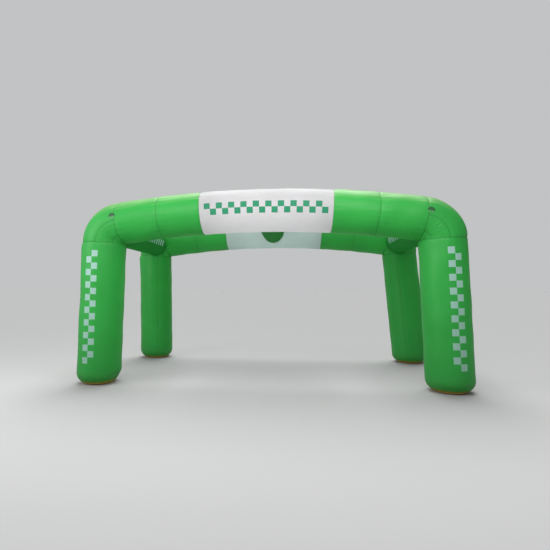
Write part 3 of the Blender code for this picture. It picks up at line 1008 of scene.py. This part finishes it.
def leg_points(arch, hand, height, angle, radius):
    """World points of a leg: sections lie level at the foot and square to the lean at the top."""
    foot = middle_of(f"{arch}_foot_{hand}")
    top_x, top_z, out_x, out_z = (float(v) for v in axis_at(np.array(HANDS[hand] * ELBOW_END)))
    share = np.clip((height - FOOT_ROUND) / (top_z - FOOT_ROUND), 0.0, 1.0)
    side = HANDS[hand]
    lift, face = radius * np.cos(angle), radius * np.sin(angle) * ARCHES[arch]
    x = foot.x + (top_x - foot.x) * share + side * lift
    y = foot.y + (ARCH_Y[arch] - foot.y) * share + face
    z = height + lift * out_z * share
    return np.stack([x, y, z], axis=1)


def make_leg(arch, hand):
    name = f"{arch}_leg_{hand}"
    top = float(axis_at(np.array(ELBOW_END))[1]) - 2 * GAP
    low = FOOT_CLOTH_HEIGHT + 2 * GAP
    foot = middle_of(f"{arch}_foot_{hand}")
    select_nothing()
    bpy.ops.mesh.primitive_cylinder_add(
        vertices=SIDES,
        radius=LEG_RADIUS,
        depth=top - low,
        end_fill_type="NGON",
        calc_uvs=False,
        location=(foot.x, foot.y, (top + low) / 2),
    )
    piece = name_and_settle(name)
    divide_along(piece, round((top - low) / RING_STEP) - 1)
    points = points_of(piece)
    height = points[:, 2]
    angle = round_foot(points, arch, hand)
    from_top = top - height
    number = CROSS_SEAMS.index(HANDS[hand] * ELBOW_END)
    skin = seam_skin(from_top, angle, seam_seed(arch, number))
    skin += fullness(LEG_FULLNESS[hand], from_top, angle)
    upright = turn_apart(angle, UPRIGHT_SEAM) * LEG_RADIUS
    skin -= UPRIGHT_DRAW * np.exp(-upright / UPRIGHT_GROOVE)
    puckers = creases(ripple(height, seam_seed(arch, 41), 30, 70))
    skin += UPRIGHT_PUCKER * swell(upright, 0.025) * puckers
    skin += uneven(height, angle, seam_seed(arch, 42) + HANDS[hand], 0.003)
    skin *= np.clip((height - low) / 0.10, 0.0, 1.0)
    skin += gather(arch, hand, height, angle)
    set_points(piece, leg_points(arch, hand, height, angle, foot_radius(height) + skin))
    seam = np.minimum(np.minimum(from_top, upright), height - low)
    return dress(piece, name, leg_cloth, seam, height, angle, LEG_RADIUS)


for arch in ARCHES:
    for hand in HANDS:
        piece = make_leg(arch, hand)
print("faces in a leg", len(piece.data.polygons))

# %% [markdown]
# ## The foot cloths
#
# A disc of heavier cloth closes each leg and takes the wear. Only its rim shows, an ochre-brown
# band under the gathered green.

# %% Foot cloths
foot_cloth = cloth("ochre_foot_cloth", (0.85, 0.50, 0.09), roughness=0.6, clear=0.0)
FOOT_RINGS = 5


def make_foot(arch, hand):
    name = f"{arch}_foot_{hand}"
    middle = middle_of(name)
    select_nothing()
    bpy.ops.mesh.primitive_circle_add(
        vertices=SIDES,
        radius=FLAT_RADIUS,
        fill_type="NGON",
        calc_uvs=False,
        location=(middle.x, middle.y, 0.0),
    )
    edit_mode()
    bpy.ops.mesh.select_all(action="SELECT")
    before = FLAT_RADIUS
    step = math.acos(1 - FOOT_CLOTH_HEIGHT / FOOT_ROUND) / FOOT_RINGS
    for ring in range(1, FOOT_RINGS + 1):
        turn = step * ring
        rise = FOOT_ROUND * (math.cos(turn - step) - math.cos(turn))
        bpy.ops.mesh.extrude_region_move(TRANSFORM_OT_translate={"value": (0, 0, rise)})
        after = FLAT_RADIUS + FOOT_ROUND * math.sin(turn)
        bpy.ops.transform.resize(
            value=(after / before, after / before, 1.0),
            center_override=(middle.x, middle.y, 0.0),
        )
        before = after
    turn_outwards()
    piece = name_and_settle(name)
    points = points_of(piece)
    angle = round_foot(points, arch, hand)
    height = np.maximum(points[:, 2], 0.0)
    radius = foot_radius(height) + gather(arch, hand, height, angle)
    set_points(piece, leg_points(arch, hand, height, angle, radius))
    seam = FOOT_CLOTH_HEIGHT - height
    return dress(piece, name, foot_cloth, seam, height, angle, LEG_RADIUS)


for arch in ARCHES:
    for hand in HANDS:
        piece = make_foot(arch, hand)
print("faces in a foot cloth", len(piece.data.polygons))

# %% [markdown]
# ## The tubes between the arches
#
# Each joining tube is a straight cylinder from front to back. Its ends are cut to the arches'
# round faces: every point of the tube slides along it until its end ring lies on the arch's skin.

# %% Joining tubes
LINK_STEP = 0.020
LINK_CAP_RINGS = 4
SIDE_SQUARE = 0.085
SIDE_BAND_HALF = 13 * SIDE_SQUARE

side_mark = (-SIDE_BAND_HALF, SIDE_BAND_HALF, 0.0, SIDE_SQUARE)
side_cloth = cloth("link_cloth_printed", LINK_GREEN_SHADED, side_mark, PRINT_PALE, roughness=0.62, gloss=0.12)
cross_cloth = cloth("link_cloth_plain", LINK_GREEN_SHADED, roughness=0.62, gloss=0.12)


def face_of_arch(arch, x, z):
    """The y at which a line along Y at (x, z) meets the arch's skin, on the face turned inwards."""
    guess = np.stack([x, np.full_like(x, ARCH_Y[arch]), z], axis=1)
    along, angle, lift = tube_coordinates(arch, guess)
    lift = lift * np.cos(angle)
    radius = np.full_like(x, BEAM_RADIUS)
    for _ in range(3):
        face = np.sqrt(np.maximum(radius**2 - lift**2, 0.01))
        angle = np.arctan2(-face, lift)
        radius = BEAM_RADIUS + arch_skin(arch, along, angle)
    return ARCH_Y[arch] - ARCHES[arch] * np.sqrt(np.maximum(radius**2 - lift**2, 0.01))


def make_link(name, radius, inward, material):
    """inward is the direction in which angle 0 of the tube points."""
    low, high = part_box(name)
    middle = (low + high) / 2
    depth = high.y - low.y
    select_nothing()
    bpy.ops.mesh.primitive_cylinder_add(
        vertices=SIDES // 2 + 32,
        radius=radius,
        depth=depth,
        end_fill_type="NGON",
        calc_uvs=False,
        location=middle,
        rotation=(math.pi / 2, 0, 0),
    )
    piece = name_and_settle(name)
    divide_along(piece, round(depth / LINK_STEP) - 1)
    pick(piece, "FACE", is_cap)
    edit_mode()
    for _ in range(LINK_CAP_RINGS):
        bpy.ops.mesh.inset(thickness=radius / (LINK_CAP_RINGS + 1), use_individual=True)
    edit_mode(False)
    points = points_of(piece)
    x, z = points[:, 0] - middle.x, points[:, 2] - middle.z
    share = (points[:, 1] - low.y) / depth
    across = np.hypot(x, z)
    angle = np.arctan2(z, x * inward)
    skin = np.zeros(len(points))
    for arch, near in (("front", share * depth), ("back", (1 - share) * depth)):
        number = 10 + [link[0] for link in LINKS].index(name)
        skin += seam_skin(near, angle, seam_seed(arch, number) + 5, 0.010, 0.003, 18, 36)
    skin += uneven(points[:, 1], angle, seam_seed("front", 60 + number), 0.0025)
    grown = across * (1 + skin / radius)
    x, z = grown * np.cos(angle) * inward, grown * np.sin(angle)
    front = face_of_arch("front", x + middle.x, z + middle.z) + 2 * GAP
    back = face_of_arch("back", x + middle.x, z + middle.z) - 2 * GAP
    y = front + (back - front) * share
    set_points(piece, np.stack([x + middle.x, y, z + middle.z], axis=1))
    seam = np.minimum(y - front, back - y)
    return dress(piece, name, material, seam, y - middle.y, angle, radius)


make_link("side_tube_left", SIDE_TUBE_RADIUS, 1, side_cloth)
make_link("side_tube_right", SIDE_TUBE_RADIUS, -1, side_cloth)
piece = make_link("cross_tube", CROSS_TUBE_RADIUS, 1, cross_cloth)
print("faces in the cross tube", len(piece.data.polygons))

# %% [markdown]
# ## Guy points
#
# In wind an arch is tied down by lines. They would hook into a steel ring on each elbow's outer
# face, beside the beam's seam. A half-round patch spreads the pull over the cloth. A webbing strap
# is folded round the ring, and both its ends are sewn to the patch. No line is hooked in here, so
# the ring hangs down. The patch is a disc, cut off along its straight edge and into small squares so
# that it can bend. The strap is a narrow grid laid along the fold. Both are then given a thickness.

# %% Where a guy point sits
PATCH_RADIUS = 0.068
PATCH_SKIRT = 0.008  # how far its straight edge lies below the middle of its round one
PATCH_THICK = 0.0022
PATCH_LIFT = 0.0006  # off the skin
STRAP_WIDTH = 0.024
STRAP_THICK = 0.0016
STRAP_TAIL = 0.032
RING_RADIUS = 0.030
RING_WIRE = 0.003
RING_TILT = math.radians(7.0)
FOLD_REACH = 0.0046  # from the wire's middle to the strap's
RING_HEIGHT = 0.0082  # of the wire's middle over the skin


def guy_frame(arch, hand):
    """X along the arch, Y up round the tube, Z outwards."""
    at = np.array(HANDS[hand] * (BEAM_HALF + GUY_FROM_SEAM))
    x, z, out_x, out_z = (float(v) for v in axis_at(at))
    out, above = Vector((0.0, ARCHES[arch], 0.0)), Vector((out_x, 0.0, out_z))
    outward = out * math.cos(GUY_TURN) + above * math.sin(GUY_TURN)
    upward = above * math.cos(GUY_TURN) - out * math.sin(GUY_TURN)
    turn = Matrix((upward.cross(outward), upward, outward)).transposed().to_4x4()
    return Matrix.Translation(Vector((x, ARCH_Y[arch], z)) + outward * BEAM_RADIUS) @ turn


def to_world(frame, across, up, out):
    """World points of points in a guy point's frame that follow the tube's roundness."""
    fall = BEAM_RADIUS - np.sqrt(BEAM_RADIUS**2 - up**2)
    local = np.stack([across, up, out - fall, np.ones_like(up)], axis=1)
    return (local @ np.array(frame).T)[:, :3]


# %% Patches
def cut_into_squares(reach, step):
    """Cuts the flat mesh in edit mode along lines a step apart, both ways."""
    for way in ((1, 0, 0), (0, 1, 0)):
        for number in range(-int(reach / step), int(reach / step) + 1):
            bpy.ops.mesh.select_all(action="SELECT")
            bpy.ops.mesh.bisect(plane_co=[number * step * part for part in way], plane_no=way)


def thicken(piece, thickness, offset, edge):
    """Gives a sheet its thickness and rounds its edges."""
    shell = piece.modifiers.new("thickness", "SOLIDIFY")
    shell.thickness = thickness
    shell.offset = offset
    select_only(piece)
    bpy.ops.object.modifier_apply(modifier="thickness")
    rounding = piece.modifiers.new("rounded_edge", "BEVEL")
    rounding.width = edge
    rounding.segments = 2
    rounding.limit_method = "ANGLE"
    rounding.angle_limit = math.radians(50)
    bpy.ops.object.modifier_apply(modifier="rounded_edge")
    edit_mode()
    turn_outwards()


def cut_patch():
    """The flat patch, with its straight edge a little below its middle."""
    select_nothing()
    bpy.ops.mesh.primitive_circle_add(
        vertices=64, radius=PATCH_RADIUS, fill_type="NGON", calc_uvs=False, location=(0, 0, 0)
    )
    edit_mode()
    bpy.ops.mesh.bisect(plane_co=(0, -PATCH_SKIRT, 0), plane_no=(0, -1, 0), clear_outer=True)
    cut_into_squares(PATCH_RADIUS, 0.0055)
    edit_mode(False)
    piece = name_and_settle("flat_patch")
    flat = points_of(piece)
    across, up = flat[:, 0], flat[:, 1]
    rim = np.minimum(PATCH_RADIUS - np.hypot(across, np.maximum(up, 0.0)), up + PATCH_SKIRT)
    set_float(piece, "seam", np.maximum(rim, 0.0) - 0.001)
    set_uv(piece, across, up, 10.0)
    return piece


def lay_patch(piece, arch, hand):
    """Lays a flat patch on its elbow's skin and thickens it."""
    flat = points_of(piece)
    points = to_world(guy_frame(arch, hand), flat[:, 0], flat[:, 1], np.zeros(len(flat)))
    along, angle, _ = tube_coordinates(arch, points)
    skin = arch_skin(arch, along, angle)
    set_points(piece, world_points(arch, along, angle, BEAM_RADIUS + skin + PATCH_LIFT))
    outward = guy_frame(arch, hand).to_3x3() @ Vector((0.0, 0.0, 1.0))
    if piece.data.polygons[0].normal.dot(outward) < 0:
        piece.data.flip_normals()
    thicken(piece, PATCH_THICK, 1.0, 0.0005)
    smooth(piece, 40.0)


def copied(pattern, name):
    """A copy of a piece with its own mesh."""
    piece = pattern.copy()
    piece.data = pattern.data.copy()
    piece.name = name
    piece.data.name = name
    bpy.context.scene.collection.objects.link(piece)
    return piece


# %% Straps
def fold_line():
    """The strap's middle line, as (up, out): a tail, the fold round the ring, the other tail."""
    under, over = RING_HEIGHT - FOLD_REACH, STRAP_THICK + 0.0003
    line = [(STRAP_TAIL * (1 - step / 8), under) for step in range(8)]
    for step in range(13):
        turn = math.pi / 2 + math.pi * step / 12
        line.append((FOLD_REACH * math.cos(turn) - 0.003, RING_HEIGHT - FOLD_REACH * math.sin(turn)))
    for step in range(1, 9):
        share = step / 8
        sink = 0.5 - 0.5 * math.cos(math.pi * min(1.0, 1.8 * share))
        high = RING_HEIGHT + FOLD_REACH + (under + over - RING_HEIGHT - FOLD_REACH) * sink
        line.append((STRAP_TAIL * share, high))
    return np.array(line)


def make_strap():
    """A strap round its ring, in a guy point's own frame."""
    line = fold_line()
    select_nothing()
    bpy.ops.mesh.primitive_grid_add(
        x_subdivisions=8, y_subdivisions=len(line) - 1, size=1.0, calc_uvs=False, location=(0, 0, 0)
    )
    piece = name_and_settle("strap")
    flat = points_of(piece)
    across = flat[:, 0] * STRAP_WIDTH
    row = np.rint((flat[:, 1] + 0.5) * (len(line) - 1)).astype(int)
    run = np.concatenate([[0.0], np.cumsum(np.hypot(*np.diff(line, axis=0).T))])
    edge = STRAP_WIDTH / 2 - np.abs(across)
    set_float(piece, "seam", edge + 0.003)
    set_uv(piece, run[row], across, 10.0)
    set_points(piece, to_world(Matrix.Identity(4), across, line[row, 0], line[row, 1]))
    thicken(piece, STRAP_THICK, 0.0, 0.0004)
    smooth(piece, 40.0)
    return piece


# %% Rings
def make_ring():
    """A ring that hangs in the strap's fold, with a swelling at its weld."""
    hang = Matrix.Rotation(RING_TILT, 4, "X") @ Matrix.Translation((0.0, -RING_RADIUS, 0.0))
    place = Matrix.Translation((0.0, 0.0, RING_HEIGHT)) @ hang
    select_nothing()
    bpy.ops.mesh.primitive_torus_add(
        major_segments=72,
        minor_segments=16,
        major_radius=RING_RADIUS,
        minor_radius=RING_WIRE,
        generate_uvs=False,
        location=place.to_translation(),
        rotation=place.to_euler(),
    )
    piece = name_and_settle("ring")
    weld = place @ Vector((RING_RADIUS * math.cos(0.6), RING_RADIUS * math.sin(0.6), 0.0))
    pick(piece, "FACE", lambda face: (face.center - weld).length < 0.0042)
    edit_mode()
    bpy.ops.transform.shrink_fatten(value=0.0005)
    edit_mode(False)
    smooth(piece, 60.0)
    return piece


# %% Webbing and steel
def webbing(name, colour):
    """Ribbed nylon tape: short ribs across it, a stitched box."""
    n = Nodes(name)
    u, v, _ = n.split(n.add("UVMap", uv_map="UVMap").outputs["UV"])
    weave = n.times(n.wave(u, 0.0018), n.wave(v, 0.0024))
    box = n.within(n.math("ABSOLUTE", v), 0.0076, 0.0094, 0.0006)
    thread = n.times(box, n.within(n.wave(u, 0.004), -0.3, 1.2, 0.3))
    shown = n.mix(n.ramp(weave, -1.0, 1.0), shade(colour, 0.75), shade(colour, 1.15))
    shown = n.mix(n.times(thread, 0.8), shown, shade(colour, 2.2))
    n.put(n.shader.inputs["Base Color"], shown)
    n.bump(n.math("ADD", n.times(weave, 0.00018), n.times(thread, 0.0003)), 0.8, 1.0)
    n.shader.inputs["Roughness"].default_value = 0.7
    return n.material


def worn_steel(name):
    """Galvanised steel: dull grey, with a patchy finish and fine scratches."""
    n = Nodes(name)
    place = n.add("TexCoord").outputs["Object"]
    patches = n.noise(place, 160.0, 4.0)
    shown = n.mix(patches, (0.20, 0.20, 0.21, 1.0), (0.46, 0.46, 0.45, 1.0))
    n.put(n.shader.inputs["Base Color"], shown)
    n.put(n.shader.inputs["Roughness"], n.ramp(patches, 0.0, 1.0, 0.25, 0.55))
    n.bump(n.noise(place, 900.0, 2.0), 0.2, 0.0002)
    n.shader.inputs["Metallic"].default_value = 1.0
    return n.material


GUY_GREEN = (0.008, 0.080, 0.018)
patch_cloth = cloth("guy_patch_cloth", GUY_GREEN, roughness=0.5, clear=0.0)
strap_webbing = webbing("guy_webbing", GUY_GREEN)
ring_steel = worn_steel("galvanised_steel")
patterns = {"patch": cut_patch(), "strap": make_strap(), "ring": make_ring()}
patterns["patch"].data.materials.append(patch_cloth)
patterns["strap"].data.materials.append(strap_webbing)
patterns["ring"].data.materials.append(ring_steel)
for arch in ARCHES:
    for hand in HANDS:
        for part, slot in (("patch", "guy_cloth"), ("strap", "guy_cloth"), ("ring", "ring_steel")):
            node = f"{arch}_guy_{part}_{hand}"
            piece = copied(patterns[part], node)
            if part == "patch":
                lay_patch(piece, arch, hand)
            else:
                piece.data.transform(guy_frame(arch, hand))
            replace_node(piece, node)
for pattern in patterns.values():
    bpy.data.objects.remove(pattern)
print("faces in a ring", len(piece.data.polygons))
